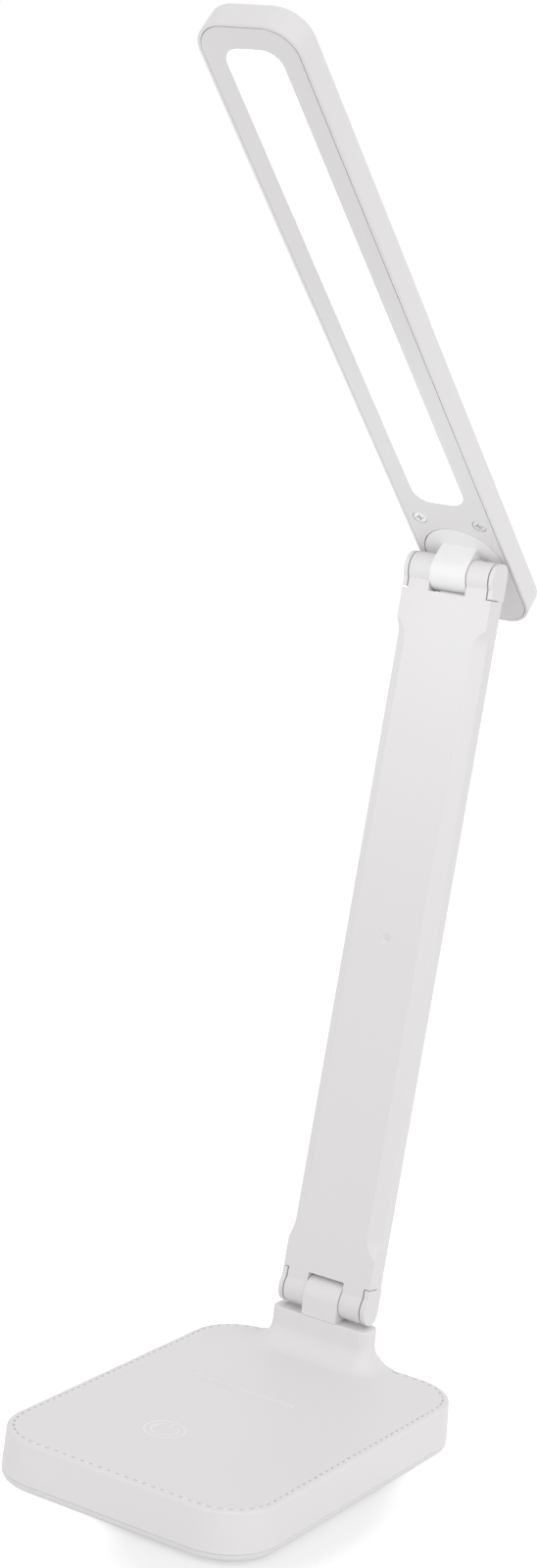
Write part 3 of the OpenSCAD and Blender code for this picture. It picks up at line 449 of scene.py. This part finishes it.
# the lit head's own light on the swivel and on its underside, and a low light on the base's right wall
softBoxes = {
    "headGlow": {"power": 0.01, "size": 0.06, "place": (-0.0065, 0.0, 0.285), "aim": (-0.0065, 0.1, 0.285),
                 "colour": (0.95, 1, 1)},
    "leftGlow": {"power": 0.022, "size": 0.1, "place": (-0.09, -0.12, 0.33), "aim": (-0.0065, 0.0, 0.37),
                 "colour": (1, 1, 1)},
    "lowRight": {"power": 0.03, "size": 0.2, "place": (0.38, -0.04, 0.05), "aim": (0.05, -0.02, 0.01),
                 "colour": (1, 1, 1)},
}


def seenRay(tree):
    path = addNode(tree, "ShaderNodeLightPath")
    mirrored = mathNode(tree, "MAXIMUM", path.outputs["Is Glossy Ray"], path.outputs["Is Transmission Ray"])
    return mathNode(tree, "MAXIMUM", path.outputs["Is Camera Ray"], mirrored)


def paintFloor(stage):
    material = bpy.data.materials.new("paleFloor")
    material.use_nodes = True
    tree = material.node_tree
    shader = tree.nodes["Principled BSDF"]
    seen = seenRay(tree)
    tone = addNode(tree, "ShaderNodeMapRange")
    tone.inputs["To Min"].default_value = stage["bounceTone"]
    tone.inputs["To Max"].default_value = stage["seenTone"]
    tree.links.new(seen, tone.inputs["Value"])
    tree.links.new(tone.outputs["Result"], shader.inputs["Base Color"])
    shader.inputs["Roughness"].default_value = stage["roughness"]
    shader.inputs["Specular IOR Level"].default_value = 0
    squash = addNode(tree, "ShaderNodeVectorMath", operation="MULTIPLY")
    tree.links.new(addNode(tree, "ShaderNodeTexCoord").outputs["Object"], squash.inputs[0])
    squash.inputs[1].default_value = stage["squash"]
    # painted shadow: the floor's lift as the camera sees it drops inside a squashed circle round shadeAt
    away = addNode(tree, "ShaderNodeVectorMath", operation="DISTANCE")
    tree.links.new(squash.outputs["Vector"], away.inputs[0])
    away.inputs[1].default_value = stage["shadeAt"]
    fade = addNode(tree, "ShaderNodeMapRange", interpolation_type="SMOOTHSTEP")
    fade.inputs["From Min"].default_value = stage["shadeNear"]
    fade.inputs["From Max"].default_value = stage["shadeFar"]
    fade.inputs["To Min"].default_value = stage["liftNear"]
    fade.inputs["To Max"].default_value = stage["liftFar"]
    tree.links.new(away.outputs["Value"], fade.inputs["Value"])
    lift = addNode(tree, "ShaderNodeMapRange")
    lift.inputs["To Min"].default_value = stage["bounceLift"]
    tree.links.new(seen, lift.inputs["Value"])
    tree.links.new(fade.outputs["Result"], lift.inputs["To Max"])
    tree.links.new(lift.outputs["Result"], shader.inputs["Emission Strength"])
    shader.inputs["Emission Color"].default_value = (1, 1, 1, 1)
    return material


def addFloor(stage):
    bm = bmesh.new()
    bmesh.ops.create_grid(bm, x_segments=1, y_segments=1, size=stage["floor"])
    mesh = bpy.data.meshes.new("floor")
    bm.to_mesh(mesh)
    bm.free()
    floor = bpy.data.objects.new("floor", mesh)
    bpy.context.scene.collection.objects.link(floor)
    mesh.materials.append(paintFloor(stage))


def addSky(stage):
    world = bpy.data.worlds.new("studio")
    world.use_nodes = True
    bpy.context.scene.world = world
    tree = world.node_tree
    back = tree.nodes["Background"]
    level = addNode(tree, "ShaderNodeMapRange")
    level.inputs["To Min"].default_value = stage["sky"]
    level.inputs["To Max"].default_value = 1
    tree.links.new(seenRay(tree), level.inputs["Value"])
    tree.links.new(level.outputs["Result"], back.inputs["Strength"])
    back.inputs["Color"].default_value = (1, 1, 1, 1)


def addSun(name, sun):
    light = bpy.data.lights.new(name, "SUN")
    light.energy = sun["energy"]
    light.angle = math.radians(sun["spread"])
    lamp = bpy.data.objects.new(name, light)
    lamp.rotation_euler = [math.radians(a) for a in sun["turn"]]
    bpy.context.scene.collection.objects.link(lamp)


def addSoftBox(name, box):
    light = bpy.data.lights.new(name, "AREA")
    light.energy = box["power"]
    light.size = box["size"]
    light.color = box["colour"]
    lamp = bpy.data.objects.new(name, light)
    lamp.location = box["place"]
    lamp.rotation_euler = (Vector(box["aim"]) - Vector(box["place"])).to_track_quat("-Z", "Y").to_euler()
    lamp.visible_camera = False
    bpy.context.scene.collection.objects.link(lamp)


addFloor(stageSet)
addSky(stageSet)
for name, sun in suns.items():
    addSun(name, sun)
for name, box in softBoxes.items():
    addSoftBox(name, box)
bpy.context.scene.view_settings.view_transform = "Standard"
print("stage set")
